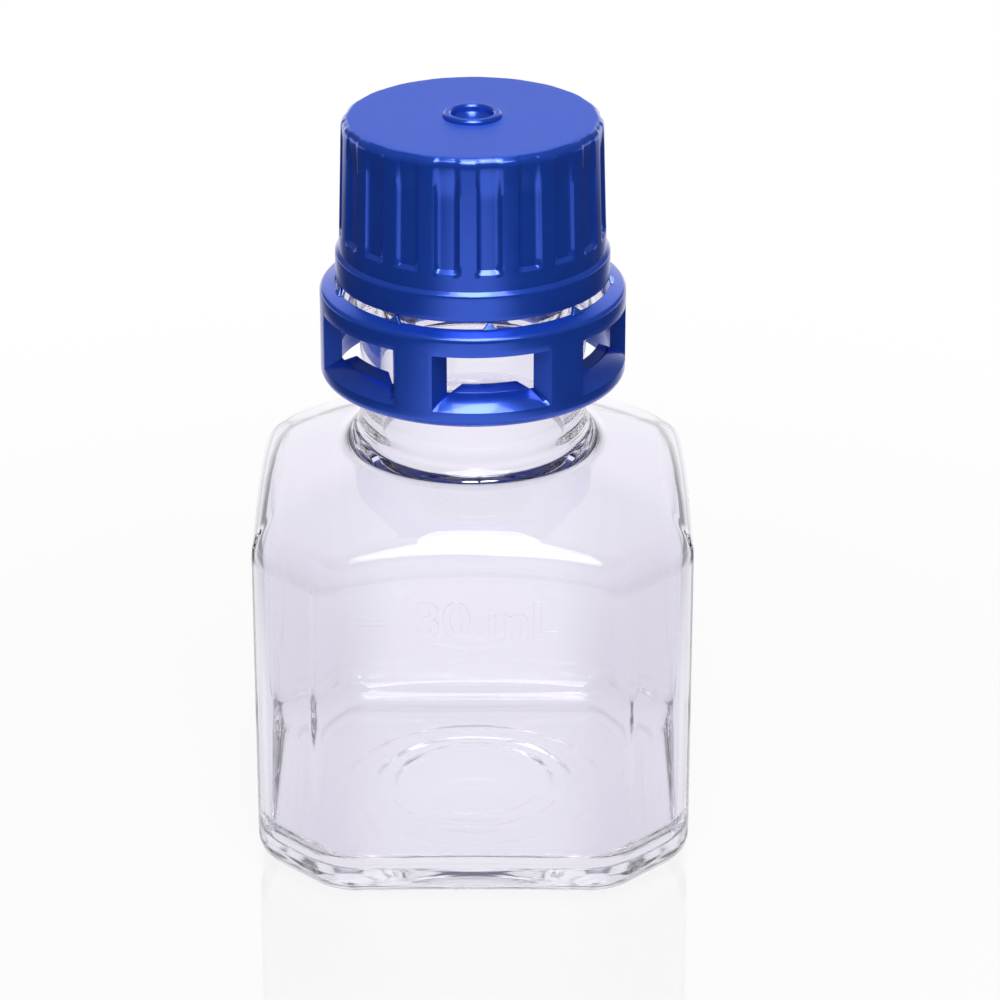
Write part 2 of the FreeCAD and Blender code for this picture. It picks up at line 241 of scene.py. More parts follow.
# %% Softboxes and world
SOFTBOXES = {
    "front_softbox": ("RECTANGLE", (490, 490), 45, (50, -390, 670)),
    "overhead_softbox": ("ELLIPSE", (230, 770), 0, (10, -120, 680)),
}
SHAPE_FILL = {"RECTANGLE": 1, "ELLIPSE": math.pi / 4}
SOFTBOX_BRIGHTNESS = 3.7
LIGHT_BOUNCES = 32
WHITE = (1, 1, 1, 1)
BLACK = (0, 0, 0, 1)
SEEN_THROUGH = (0.97, 0.96, 1.0, 1)
ROOM_FILL = 0.06
ROOM_BRIGHT = 1.0
ROOM_DARK = 0.12
BACKDROP_SIDES = (0.3, 0.6)
ROOM_EDGE = (math.sin(math.radians(32)), math.sin(math.radians(46)))
BEHIND = (-0.1, 0.3)
ROOM_CLEAR = 0.95
SIDES = (0.55, 0.95)
SIDE_LOSS = 0.3
FRONT_LOSS = 0.85

for name, (shape, (width, depth), turn, place) in SOFTBOXES.items():
    lamp = bpy.data.lights.new(name, "AREA")
    lamp.shape = shape
    lamp.size = width * MM
    lamp.size_y = depth * MM
    lamp.energy = SOFTBOX_BRIGHTNESS * math.pi * lamp.size * lamp.size_y * SHAPE_FILL[shape]
    softbox = bpy.data.objects.new(name, lamp)
    softbox.location = Vector(place) * MM
    softbox.rotation_euler.z = math.radians(turn)
    bpy.context.scene.collection.objects.link(softbox)

for kind in ("max_bounces", "glossy_bounces", "transmission_bounces"):
    setattr(bpy.context.scene.cycles, kind, LIGHT_BOUNCES)

world = bpy.data.worlds.new("room")
world.use_nodes = True
world.cycles.sampling_method = "NONE"
bpy.context.scene.world = world
tree = world.node_tree
tree.nodes.clear()
to_camera = Signal.node(tree, "ShaderNodeLightPath", output="Is Camera Ray")
glossy = Signal.node(tree, "ShaderNodeLightPath", output="Is Glossy Ray")
through = Signal.node(tree, "ShaderNodeLightPath", output="Is Transmission Ray")
direction = Signal.node(tree, "ShaderNodeTexCoord", output="Generated")
sideways, backward, upward = split(tree, direction)
overhead = upward.eased(*ROOM_EDGE)
behind = backward.eased(*BEHIND)
backdrop = behind * (1 - overhead) * sideways.size().eased(*BACKDROP_SIDES, 1, 0)
gloss_sees = ROOM_DARK + (ROOM_BRIGHT - ROOM_DARK) * backdrop
clear_sees = ROOM_CLEAR - SIDE_LOSS * sideways.size().eased(*SIDES) - FRONT_LOSS * overhead * (1 - behind)
shiny = glossy.either(through)
room = gloss_sees.towards(clear_sees, through) * shiny + ROOM_FILL * (1 - shiny)
tint = blend(tree, through, WHITE, SEEN_THROUGH)
brightness = to_camera + (1 - to_camera) * room
background = Signal.node(tree, "ShaderNodeBackground", inputs={"Color": tint, "Strength": brightness})
Signal.node(tree, "ShaderNodeOutputWorld", inputs={"Surface": background})
print(len(SOFTBOXES), "softboxes, world of", len(tree.nodes), "nodes")

# %% The white sheet
# Reaches on the sheet are in metres, as positions in the shader are.
FLOOR_HALF = 3.0
SHEET_WHITE = (0.9, 0.9, 0.9, 1)
GLOW_NEAR = 0.9
MIRROR = 0.1
SHADOW_REACH = (0.03, 0.14)
SHEET_SIDE = (0.03, 0.11)
SHEET_FRONT = (-0.26, -0.2)
SHEET_BACK = (0.12, 0.2)
OFF_SHEET = 0.04
CLEAR_SIDE = (0.04, 0.12)
CLEAR_FRONT = (-0.08, -0.025)
CLEAR_DEEP = (0.03, 0.065)
CLEAR_NEAR = 0.94
OFF_CLEAR = 0.35
AIR_GAP = 0.05 * MM
SHEET_ROUGH = 0.12
SHEET_GLOSS = 0.35
MIRROR_ROUGH = 0.03
SQUARE = ((-1, -1), (1, -1), (1, 1), (-1, 1))

floor_mesh = bpy.data.meshes.new("white_sheet")
floor_mesh.from_pydata([(x * FLOOR_HALF, y * FLOOR_HALF, 0) for x, y in SQUARE], [], [(0, 1, 2, 3)])
floor = bpy.data.objects.new("white_sheet", floor_mesh)
floor.location.z = -AIR_GAP
bpy.context.scene.collection.objects.link(floor)
floor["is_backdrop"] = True

sheet_finish = bpy.data.materials.new("white_sheet")
sheet_finish.use_nodes = True
sheet_finish.cycles.emission_sampling = "NONE"
tree = sheet_finish.node_tree
tree.nodes.clear()
to_camera = Signal.node(tree, "ShaderNodeLightPath", output="Is Camera Ray")
glossy = Signal.node(tree, "ShaderNodeLightPath", output="Is Glossy Ray")
through = Signal.node(tree, "ShaderNodeLightPath", output="Is Transmission Ray")
place = Signal.node(tree, "ShaderNodeNewGeometry", output="Position")
away = Signal.node(tree, "ShaderNodeVectorMath", {"operation": "LENGTH"}, {0: place}, output="Value")
own_glow = to_camera * away.eased(*SHADOW_REACH, GLOW_NEAR, 1) + (1 - to_camera) * glossy.either(through)
across, along, _ = split(tree, place)
in_front = across.size().eased(*SHEET_SIDE, 1, 0) * along.eased(*SHEET_FRONT)
on_sheet = in_front.either(along.eased(*SHEET_BACK))
gloss_sees = OFF_SHEET + (ROOM_BRIGHT - OFF_SHEET) * on_sheet
in_clear = across.size().eased(*CLEAR_SIDE, 1, 0) * along.eased(*CLEAR_FRONT)
clear_sees = (OFF_CLEAR + (1 - OFF_CLEAR) * in_clear) * along.eased(*CLEAR_DEEP, CLEAR_NEAR, 1)
strength = to_camera.either(gloss_sees.towards(clear_sees, through))
lit = Signal.node(
    tree,
    "ShaderNodeBsdfPrincipled",
    inputs={"Base Color": SHEET_WHITE, "Roughness": SHEET_ROUGH, "Specular IOR Level": SHEET_GLOSS},
)
glow_tint = blend(tree, strength, BLACK, blend(tree, through, WHITE, SEEN_THROUGH))
glow = Signal.node(tree, "ShaderNodeEmission", inputs={"Color": glow_tint, "Strength": 1.0})
sheet = Signal.node(tree, "ShaderNodeMixShader", inputs={0: own_glow, 1: lit, 2: glow})
mirror = Signal.node(tree, "ShaderNodeBsdfGlossy", inputs={"Color": WHITE, "Roughness": MIRROR_ROUGH})
sheet = Signal.node(tree, "ShaderNodeMixShader", inputs={0: to_camera * MIRROR, 1: sheet, 2: mirror})
Signal.node(tree, "ShaderNodeOutputMaterial", inputs={"Surface": sheet})
floor_mesh.materials.append(sheet_finish)
print("floor:", 2 * FLOOR_HALF, "m across")

# %% [markdown]
# ## Skins wrapped round an axis
#
# The bottle, the cap and the liner all wrap round the axis of the neck. A lathe (a Screw modifier)
# would make the round ones, but not the square body, the flutes or the threads. So a skin here is a
# grid: each column is an upright cut through the piece at one angle, and each row is a ring of points.
# Straight runs and arcs make up a column, and a radius may be one number or one for each column. A fan
# closes each end, so the mesh is watertight.

# %% Rows, columns and skins
SOFT_ANGLE = math.radians(32)
SHARP_ANGLE = math.radians(40)
BEVEL_STEPS = 3
HUB = 0.3


def bend(centre_radius, centre_height, size, start, end, rows, width=None):
    """Rows along an arc in the upright cut, with angles in degrees from level.

    The end belongs to the next stretch. A width of its own makes the arc part of an ellipse.
    """
    share = np.linspace(0, 1, rows, endpoint=False)[:, None]
    angle = np.radians(start + (end - start) * share)
    width = size if width is None else width
    return centre_radius + width * np.cos(angle), centre_height + size * np.sin(angle)


def run(start, end, rows):
    """Rows along a straight line between two points, each a radius and a height."""
    share = np.linspace(0, 1, rows, endpoint=False)[:, None]
    return [np.asarray(a) + (np.asarray(b) - np.asarray(a)) * share for a, b in zip(start, end)]


def stacked(stretches, columns):
    """All stretches of a cut as two grids, of radii and of heights."""
    grids = []
    for part in (0, 1):
        rows = [np.broadcast_to(stretch[part], (len(stretch[0]), columns)) for stretch in stretches]
        grids.append(np.vstack(rows))
    return grids


def round_the_axis(radius, height, turn):
    """Points at a radius and a height, turned from the front (-Y) towards +X."""
    return np.stack(np.broadcast_arrays(radius * np.sin(turn), -radius * np.cos(turn), height), axis=-1)


def new_piece(name, points, faces):
    """A smooth mesh object from points in millimetres."""
    mesh = bpy.data.meshes.new(name)
    mesh.from_pydata((np.asarray(points) * MM).tolist(), [], faces)
    mesh.shade_smooth()
    piece = bpy.data.objects.new(name, mesh)
    bpy.context.scene.collection.objects.link(piece)
    return piece


def skin(name, radius, height, turn):
    """A closed piece from grids of radii and heights. On an outer wall the rows go up."""
    rows, columns = radius.shape
    points = round_the_axis(radius, height, turn).reshape(-1, 3).tolist()
    first, last = len(points), len(points) + 1
    points += [[0, 0, height[0].mean()], [0, 0, height[-1].mean()]]
    here = np.arange(columns)
    beside = np.roll(here, -1)
    faces = [[first, b, a] for a, b in zip(here.tolist(), beside.tolist())]
    for low in range(0, (rows - 1) * columns, columns):
        high = low + columns
        faces += np.stack([low + here, low + beside, high + beside, high + here], axis=1).tolist()
    top = (rows - 1) * columns
    faces += [[top + a, top + b, last] for a, b in zip(here.tolist(), beside.tolist())]
    return new_piece(name, points, faces)


def even_normals(piece):
    """Let large flat faces decide the shading at their edges, so that flats look flat."""
    modifier = piece.modifiers.new("even_normals", "WEIGHTED_NORMAL")
    modifier.keep_sharp = True


def soften(piece, width, plain=()):
    """Round the sharp edges of a piece, apart from those between plain points."""
    work = bmesh.new()
    work.from_mesh(piece.data)
    weight = work.edges.layers.float.new("bevel_weight_edge")
    for edge in work.edges:
        kept = all(vertex.index in plain for vertex in edge.verts)
        edge[weight] = float(edge.calc_face_angle() > SOFT_ANGLE and not kept)
    work.to_mesh(piece.data)
    work.free()
    bevel = piece.modifiers.new("soft_edges", "BEVEL")
    bevel.width = width * MM
    bevel.segments = BEVEL_STEPS
    bevel.limit_method = "WEIGHT"
    even_normals(piece)


def eased(share):
    """A smooth step from 0 to 1, as numbers."""
    share = np.clip(share, 0, 1)
    return share * share * (3 - 2 * share)


print("an arc of 4 rows:", np.round(bend(0, 0, 1, 0, 90, 4)[0].ravel(), 2))

# %% [markdown]
# ## Screw threads
#
# Neck and cap screw together on a single right-hand thread. A thread could be a profile swept along a
# helix and joined to the wall, which leaves a seam inside the plastic. Here the wall itself swells into
# a ridge: at each point the distance to the helix says how high the ridge is. Both ridges have the lead
# of the frame's screw coupling, and the cap's lies half a lead below the neck's, so they stay clear of
# each other all the way off.

# %% A ridge along a helix
screw = frame["record"]["behaviour"]["couplings"][0]
THREAD_LEAD = screw["ratio"] * math.tau / MM
THREAD_START = MOUTH - 9.4
THREAD_TURNS = 1.8
THREAD_FADE = 0.07
THREAD_DEPTH = 0.8
THREAD_FOOT = 0.9
THREAD_CREST = 0.2


def ridge(turn, height, start):
    """How far up the ridge of a screw thread a point lies: 0 beside it, 1 on its crest."""
    wraps = turn / math.tau
    wraps = wraps + np.round((height - start) / THREAD_LEAD - wraps)
    beside = np.abs(height - start - THREAD_LEAD * wraps)
    rise = eased((THREAD_FOOT - beside) / (THREAD_FOOT - THREAD_CREST))
    return rise * eased(wraps / THREAD_FADE) * eased((THREAD_TURNS - wraps) / THREAD_FADE)


print(f"{screw['joint']} follows {screw['follows']}: the thread rises {THREAD_LEAD:.3f} mm a turn")

# %% [markdown]
# ## The bottle
#
# The real bottle is blown from clear copolyester: a square with cut corners, a domed shoulder, a round
# neck, and a base pushed up in the middle so that it stands on its rim. Clear plastic shows its inner
# face as much as its outer one, so both are modelled, as one closed skin that goes over the lip of the
# mouth and down inside. Subdivision would soften the flats. Instead each column is cut exactly: wall,
# fillet, dome, fillet, neck.

# %% How far the walls stand from the axis
CORNER_CUT = 6.4
CORNER_ROUND = 4.8
EIGHTH = math.pi / 4
FACE_COLUMNS = 30
EDGE_COLUMNS = 18
CUT_COLUMNS = 10
EDGE_SPAN = math.radians(5.4)


def cut_square(turn, half_width, cut, rounding):
    """How far a square wall with cut, rounded corners stands from the axis, for each column."""
    off_face = np.abs((turn + EIGHTH) % (2 * EIGHTH) - EIGHTH)
    face = half_width / np.cos(off_face)
    corner = (2 * half_width - cut) / math.sqrt(2) / np.cos(EIGHTH - off_face)
    centre_out = half_width - rounding
    centre_along = half_width - cut - rounding * math.tan(EIGHTH / 2)
    towards = centre_out * np.cos(off_face) + centre_along * np.sin(off_face)
    under_root = rounding**2 - centre_out**2 - centre_along**2 + towards**2
    edge = towards + np.sqrt(np.maximum(under_root, 0))
    edge_start = math.atan2(centre_along, half_width)
    edge_end = math.atan2(centre_along + rounding / math.sqrt(2), centre_out + rounding / math.sqrt(2))
    return np.where(off_face < edge_start, face, np.where(off_face > edge_end, corner, edge))


def bottle_columns():
    """Column angles, close together at the eight upright edges."""
    near = math.atan2(HALF_WIDTH - CORNER_CUT, HALF_WIDTH)
    far = 2 * EIGHTH - near
    stretches = [
        (-near + EDGE_SPAN, near - EDGE_SPAN, FACE_COLUMNS),
        (near - EDGE_SPAN, near + EDGE_SPAN, EDGE_COLUMNS),
        (near + EDGE_SPAN, far - EDGE_SPAN, CUT_COLUMNS),
        (far - EDGE_SPAN, far + EDGE_SPAN, EDGE_COLUMNS),
    ]
    quarter = np.concatenate([np.linspace(*stretch, endpoint=False) for stretch in stretches])
    return np.concatenate([2 * EIGHTH * number + quarter for number in range(4)]) % math.tau


bottle_turn = bottle_columns()
bottle_wall = cut_square(bottle_turn, HALF_WIDTH, CORNER_CUT, CORNER_ROUND)
print(len(bottle_turn), "columns,", f"{bottle_wall.min():.2f} to {bottle_wall.max():.2f} from the axis")

# %% The outside of the bottle, from the middle of the base to the mouth
PUSHUP_RADIUS = 14.0
PUSHUP_RISE = 1.2
BASE_RINGS = {6.6: 0.1, 8.4: 0.1, 11.4: 0.06}
BASE_RING_HALF = 0.95
HEEL_ROUND = 2.9
DOME_RADIUS = 46.0
SHOULDER_HEIGHT = 37.1
SHOULDER_ROUND = 4.4
NECK_RADIUS = 9.95
NECK_ROOT_ROUND = 3.3
BEAD_UNDERSIDE = 48.65
BEAD_HEIGHT = 1.45
BEAD_RADIUS = 11.6
BEAD_ROUND = 0.3
BEAD_ROUND_END = 72
BEAD_SLOPE_IN = 0.4
FINISH_RADIUS = 8.9
MOUTH_ROUND = 0.5
LIP_ROUND = 0.35
BORE_RADIUS = 7.0
THREAD_BAND = (MOUTH - 10.5, MOUTH - 2.0)
DOME_CENTRE = SHOULDER_HEIGHT - math.sqrt(DOME_RADIUS**2 - NECK_RADIUS**2)


def pushup(radius):
    """Height of the hollow under the base, with its moulded rings."""
    height = PUSHUP_RISE * eased(1 - radius / PUSHUP_RADIUS)
    for middle, depth in BASE_RINGS.items():
        height = height + depth * eased(1 - np.abs(radius - middle) / BASE_RING_HALF)
    return height


def on_dome(sphere, fillet, out):
    """Height and tilt, in degrees, of a fillet's centre that touches a dome from a given distance out."""
    height = DOME_CENTRE + np.sqrt((sphere + fillet) ** 2 - out**2)
    return height, np.degrees(np.arctan2(height - DOME_CENTRE, out))


def bottle_outside(wall):
    base = np.linspace(HUB, PUSHUP_RADIUS, 64, endpoint=False)[:, None]
    shoulder_z, shoulder_tilt = on_dome(DOME_RADIUS, -SHOULDER_ROUND, wall - SHOULDER_ROUND)
    root_z, root_tilt = on_dome(DOME_RADIUS, NECK_ROOT_ROUND, NECK_RADIUS + NECK_ROOT_ROUND)
    crest = BEAD_UNDERSIDE + BEAD_HEIGHT / 2
    bead_top = BEAD_UNDERSIDE + BEAD_HEIGHT
    thread_zone = [(THREAD_BAND[0], 6), (THREAD_BAND[1], 150), (MOUTH - MOUTH_ROUND, 4)]
    rows = [
        (base, pushup(base)),
        run((PUSHUP_RADIUS, 0), (wall - HEEL_ROUND, 0), 6),
        bend(wall - HEEL_ROUND, HEEL_ROUND, HEEL_ROUND, -90, 0, 12),
        run((wall, HEEL_ROUND), (wall, shoulder_z), 10),
        bend(wall - SHOULDER_ROUND, shoulder_z, SHOULDER_ROUND, 0, shoulder_tilt, 24),
        bend(0, DOME_CENTRE, DOME_RADIUS, shoulder_tilt, root_tilt, 24),
        bend(NECK_RADIUS + NECK_ROOT_ROUND, root_z, NECK_ROOT_ROUND, root_tilt + 180, 180, 20),
        run((NECK_RADIUS, root_z), (NECK_RADIUS, BEAD_UNDERSIDE - BEAD_ROUND), 8),
        bend(NECK_RADIUS + BEAD_ROUND, BEAD_UNDERSIDE - BEAD_ROUND, BEAD_ROUND, 180, 90, 4),
        run((NECK_RADIUS + BEAD_ROUND, BEAD_UNDERSIDE), (BEAD_RADIUS - BEAD_ROUND, BEAD_UNDERSIDE), 3),
        bend(BEAD_RADIUS - BEAD_ROUND, BEAD_UNDERSIDE + BEAD_ROUND, BEAD_ROUND, -90, 0, 5),
        bend(BEAD_RADIUS - BEAD_ROUND, crest, BEAD_ROUND, 0, BEAD_ROUND_END, 5),
        run((BEAD_RADIUS - BEAD_SLOPE_IN, crest + BEAD_ROUND), (FINISH_RADIUS, bead_top), 6),
    ]
    low = bead_top
    for high, count in thread_zone:
        rows.append(run((FINISH_RADIUS, low), (FINISH_RADIUS, high), count))
        low = high
    rows += [
        bend(FINISH_RADIUS - MOUTH_ROUND, MOUTH - MOUTH_ROUND, MOUTH_ROUND, 0, 90, 6),
        run((FINISH_RADIUS - MOUTH_ROUND, MOUTH), (BORE_RADIUS + LIP_ROUND, MOUTH), 4),
        bend(BORE_RADIUS + LIP_ROUND, MOUTH - LIP_ROUND, LIP_ROUND, 90, 180, 5),
    ]
    return rows


print(sum(len(radius) for radius, height in bottle_outside(bottle_wall)), "rows outside")

# %% The inside of the bottle, from the mouth to the middle of the floor
WALL = 1.0
NECK_WALL = 1.8
FLOOR = 2.0
INNER_CORNER_ROUND = CORNER_ROUND - WALL
INNER_SHOULDER_ROUND = SHOULDER_ROUND - WALL
THROAT_ROUND = 1.4
BORE_FOOT = BEAD_UNDERSIDE + 2.2
INNER_HEEL_ROUND = 3.6


def bottle_inside(wall):
    throat = NECK_RADIUS - NECK_WALL
    inner_dome = DOME_RADIUS - WALL
    throat_z, throat_tilt = on_dome(inner_dome, THROAT_ROUND, throat + THROAT_ROUND)
    shoulder_z, shoulder_tilt = on_dome(inner_dome, -INNER_SHOULDER_ROUND, wall - INNER_SHOULDER_ROUND)
    floor_radius = np.linspace(PUSHUP_RADIUS, HUB, 24)[:, None]
    floor_height = FLOOR + PUSHUP_RISE * eased(1 - floor_radius / PUSHUP_RADIUS)
    return [
        run((BORE_RADIUS, MOUTH - LIP_ROUND), (BORE_RADIUS, BORE_FOOT), 8),
        run((BORE_RADIUS, BORE_FOOT), (throat, BORE_FOOT - NECK_WALL), 6),
        run((throat, BORE_FOOT - NECK_WALL), (throat, throat_z), 6),
        bend(throat + THROAT_ROUND, throat_z, THROAT_ROUND, 180, throat_tilt + 180, 8),
        bend(0, DOME_CENTRE, inner_dome, throat_tilt, shoulder_tilt, 18),
        bend(wall - INNER_SHOULDER_ROUND, shoulder_z, INNER_SHOULDER_ROUND, shoulder_tilt, 0, 16),
        run((wall, shoulder_z), (wall, FLOOR + INNER_HEEL_ROUND), 10),
        bend(wall - INNER_HEEL_ROUND, FLOOR + INNER_HEEL_ROUND, INNER_HEEL_ROUND, 0, -90, 10),
        run((wall - INNER_HEEL_ROUND, FLOOR), (PUSHUP_RADIUS, FLOOR), 5),
        (floor_radius, floor_height),
    ]


inner_cut = CORNER_CUT - (2 - math.sqrt(2)) * WALL
bottle_inner_wall = cut_square(bottle_turn, HALF_WIDTH - WALL, inner_cut, INNER_CORNER_ROUND)
print(sum(len(radius) for radius, height in bottle_inside(bottle_inner_wall)), "rows inside")

# %% Wrap the bottle and raise its thread
stretches = bottle_outside(bottle_wall) + bottle_inside(bottle_inner_wall)
radius, height = stacked(stretches, len(bottle_turn))
on_finish = np.isclose(radius, FINISH_RADIUS) & (height > BEAD_UNDERSIDE + BEAD_HEIGHT)
radius = radius + np.where(on_finish, THREAD_DEPTH * ridge(bottle_turn, height, THREAD_START), 0)
bottle = skin("clear_bottle", radius, height, bottle_turn)
print("bottle:", len(bottle.data.polygons), "faces")

# %% [markdown]
# ## The volume mark
#
# The mould leaves a faint raised mark on the front: a dash for the level and the volume beside it. It
# could be drawn as a bump in the finish, but clear plastic shows such a mark only by the light that its
# edges bend, so it is real relief. The letters come from Blender's built-in font and are joined to the
# wall with a boolean union.

# %% Raise the mark on the front
MARK = "30 mL"
MARK_SIZE = (12.3, 3.5)
MARK_MIDDLE = (1.3, 27.6)
MARK_RISE = 0.05
MARK_ROOT = 0.3
MARK_EDGE = 0.025  # in the font's own units
DASH_SIZE = (2.7, 0.5)
DASH_MIDDLE = (-8.65, 27.3)
MARK_SHARP_ANGLE = math.radians(25)
BOX_FACES = [(0, 3, 2, 1), (4, 5, 6, 7), (0, 1, 5, 4), (1, 2, 6, 5), (2, 3, 7, 6), (3, 0, 4, 7)]


def close_seams(mesh, gap=0.0):
    """Weld points that lie together and turn every face outward."""
    work = bmesh.new()
    work.from_mesh(mesh)
    bmesh.ops.remove_doubles(work, verts=work.verts, dist=gap)
    bmesh.ops.recalc_face_normals(work, faces=work.faces)
    work.to_mesh(mesh)
    work.free()


def lettering(text):
    """Points and faces of a line of raised letters, lying flat."""
    curve = bpy.data.curves.new("lettering", "FONT")
    curve.body = text
    curve.extrude = MARK_EDGE
    curve.bevel_depth = MARK_EDGE
    writing = bpy.data.objects.new("lettering", curve)
    mesh = bpy.data.meshes.new_from_object(writing)
    close_seams(mesh, MARK_EDGE / 50)
    points = np.array([vertex.co for vertex in mesh.vertices])
    faces = [list(face.vertices) for face in mesh.polygons]
    bpy.data.meshes.remove(mesh)
    bpy.data.objects.remove(writing)
    return points, faces


def on_front(name, points, faces, size, middle):
    """Stand flat relief upright on the front face, scaled to its size."""
    low, high = points.min(axis=0), points.max(axis=0)
    share = (points - low) / (high - low) - (0.5, 0.5, 0)
    across = middle[0] + size[0] * share[:, 0]
    out = -HALF_WIDTH + MARK_ROOT - (MARK_ROOT + MARK_RISE) * share[:, 2]
    up = middle[1] + size[1] * share[:, 1]
    return new_piece(name, np.stack([across, out, up], axis=1), faces)


def merge(piece, other):
    """Join another closed piece to this one."""
    union = piece.modifiers.new("union", "BOOLEAN")
    union.operation = "UNION"
    union.solver = "MANIFOLD"
    union.object = other
    evaluated = piece.evaluated_get(bpy.context.evaluated_depsgraph_get())
    joined = bpy.data.meshes.new_from_object(evaluated)
    joined.materials.clear()
    piece.modifiers.remove(union)
    piece.data = joined
    bpy.data.objects.remove(other)


box = np.array([(x, y, z) for z in (0, 1) for x, y in SQUARE])
merge(bottle, on_front("volume", *lettering(MARK), MARK_SIZE, MARK_MIDDLE))
merge(bottle, on_front("level_dash", box, BOX_FACES, DASH_SIZE, DASH_MIDDLE))
bottle.data.set_sharp_from_angle(angle=MARK_SHARP_ANGLE)
even_normals(bottle)
print("marked bottle:", len(bottle.data.polygons), "faces")

# %% [markdown]
# ## The cap
#
# The cap is moulded in one shot: a bore with a thread, a plain skirt, twenty shallow flutes for the
# fingers and, on top, a small ring round the spot where the plastic was fed in. The flutes could be cut
# with booleans, but their soft edges catch the light, so each column of the skin simply knows how far
# it lies inside a flute.

# %% Flutes and profile of the cap
CAP_BORE = 10.05
GATE_HEIGHT = 0.45
CAP_TOP = cap_high[2] - GATE_HEIGHT
FLUTES = 20
FLUTE_COLUMNS = 18
FLUTE_TURN = 7.3
FLUTE_HALF = 4.7
FLUTE_EDGE = 1.6
FLUTE_DEPTH = 0.34
FLUTE_LEDGE = CAP_FOOT + 4.15
SKIRT_TOP = CAP_FOOT + 2.3
SKIRT_STEP = 0.34
SKIRT_ROUND = 0.3
SLOPE_IN = 0.09
WALL_FOOT = 11.68
WALL_TOP = 11.33
RIM_ROUND = 0.8
FLUTE_HEAD = 3.6
RIM_FLUTE = 0.12
GATE_RADIUS = 2.6
GATE_CUP = 1.75
GATE_CUP_DEPTH = 0.75
GATE_ROUND = 0.4
GATE_CUP_END = -86
SMALL_ROUND = 0.14
FOOT_CHAMFER = 0.3


def cap_wall(height):
    """Radius of the cap's slightly tapered wall."""
    share = (height - SKIRT_TOP - SKIRT_STEP) / (CAP_TOP - SKIRT_TOP - SKIRT_STEP)
    return WALL_FOOT + (WALL_TOP - WALL_FOOT) * share


def cap_inside():
    """Rows from the middle of the ceiling down the bore and out over the foot."""
    return [
        run((HUB, CEILING), (CAP_BORE - SMALL_ROUND, CEILING), 5),
        bend(CAP_BORE - SMALL_ROUND, CEILING - SMALL_ROUND, SMALL_ROUND, 90, 0, 3),
        run((CAP_BORE, CEILING - SMALL_ROUND), (CAP_BORE, CAP_FOOT + FOOT_CHAMFER), 60),
        run((CAP_BORE, CAP_FOOT + FOOT_CHAMFER), (CAP_BORE + FOOT_CHAMFER, CAP_FOOT), 3),
        run((CAP_BORE + FOOT_CHAMFER, CAP_FOOT), (SKIRT_RADIUS - SMALL_ROUND, CAP_FOOT), 4),
    ]


def cap_outside(flute):
    """Rows from the foot to the middle of the top. The flute share, 0 to 1, pulls a column in."""
    groove_foot = FLUTE_LEDGE + FLUTE_DEPTH
    groove_head = CAP_TOP - FLUTE_HEAD
    rim_foot = CAP_TOP - RIM_ROUND
    fade = np.linspace(0, 1, 10, endpoint=False)[:, None]
    groove = FLUTE_DEPTH + (RIM_FLUTE - FLUTE_DEPTH) * eased(fade)
    fade_height = groove_head + (rim_foot - groove_head) * fade
    rim_middle = cap_wall(rim_foot) - RIM_ROUND
    slope_start = SKIRT_ROUND * math.tan(math.pi / 8)
    gate_rim = CAP_TOP + GATE_HEIGHT - GATE_ROUND

    def deep_wall(height):
        return cap_wall(height) - flute * FLUTE_DEPTH

    return [
        bend(SKIRT_RADIUS - SMALL_ROUND, CAP_FOOT + SMALL_ROUND, SMALL_ROUND, -90, 0, 4),
        run((SKIRT_RADIUS, CAP_FOOT + SMALL_ROUND), (SKIRT_RADIUS, SKIRT_TOP - slope_start), 6),
        bend(SKIRT_RADIUS - SKIRT_ROUND, SKIRT_TOP - slope_start, SKIRT_ROUND, 0, 45, 5),
        run((SKIRT_RADIUS - SLOPE_IN, SKIRT_TOP + SLOPE_IN), (WALL_FOOT, SKIRT_TOP + SKIRT_STEP), 3),
        run((WALL_FOOT, SKIRT_TOP + SKIRT_STEP), (cap_wall(FLUTE_LEDGE), FLUTE_LEDGE), 5),
        run((cap_wall(FLUTE_LEDGE), FLUTE_LEDGE), (deep_wall(groove_foot), groove_foot), 6),
        run((deep_wall(groove_foot), groove_foot), (deep_wall(groove_head), groove_head), 10),
        (cap_wall(fade_height) - flute * groove, fade_height),
        bend(rim_middle, rim_foot, RIM_ROUND, 0, 90, 9, RIM_ROUND - flute * RIM_FLUTE),
        run((rim_middle, CAP_TOP), (GATE_RADIUS, CAP_TOP), 10),
        bend(GATE_RADIUS - GATE_ROUND, gate_rim, GATE_ROUND, 0, 90, 7),
        bend(GATE_CUP + GATE_ROUND, gate_rim, GATE_ROUND, 90, 180, 7),
        bend(0, gate_rim, GATE_CUP_DEPTH, 0, GATE_CUP_END, 9, GATE_CUP),
    ]


cap_turn = math.tau * np.arange(FLUTES * FLUTE_COLUMNS) / (FLUTES * FLUTE_COLUMNS)
pitch = 360 / FLUTES
off_flute = np.abs((np.degrees(cap_turn) - FLUTE_TURN + pitch / 2) % pitch - pitch / 2)
flute = eased((FLUTE_HALF + FLUTE_EDGE / 2 - off_flute) / FLUTE_EDGE)
radius, height = stacked(cap_inside() + cap_outside(flute), len(cap_turn))
in_bore = np.isclose(radius, CAP_BORE) & (height < CEILING)
thread = ridge(cap_turn, height, THREAD_START - THREAD_LEAD / 2)
radius = radius - np.where(in_bore, THREAD_DEPTH * thread, 0)
cap = skin("fluted_cap", radius, height, cap_turn)
cap.data.set_sharp_from_angle(angle=SHARP_ANGLE)
even_normals(cap)
print("cap:", len(cap.data.polygons), "faces,", FLUTES, "flutes")

# %% [markdown]
# ## The liner
#
# A disc of foam lies in the top of the cap and is pressed on the mouth of the bottle, which leaves a
# shallow ring in it. It is the same kind of skin, with a dent where the mouth presses.

# %% Cut the liner
LINER_ROUND = 0.12
LIP_DENT = 0.06
DENT_STEEPNESS = 3
LINER_COLUMNS = 96

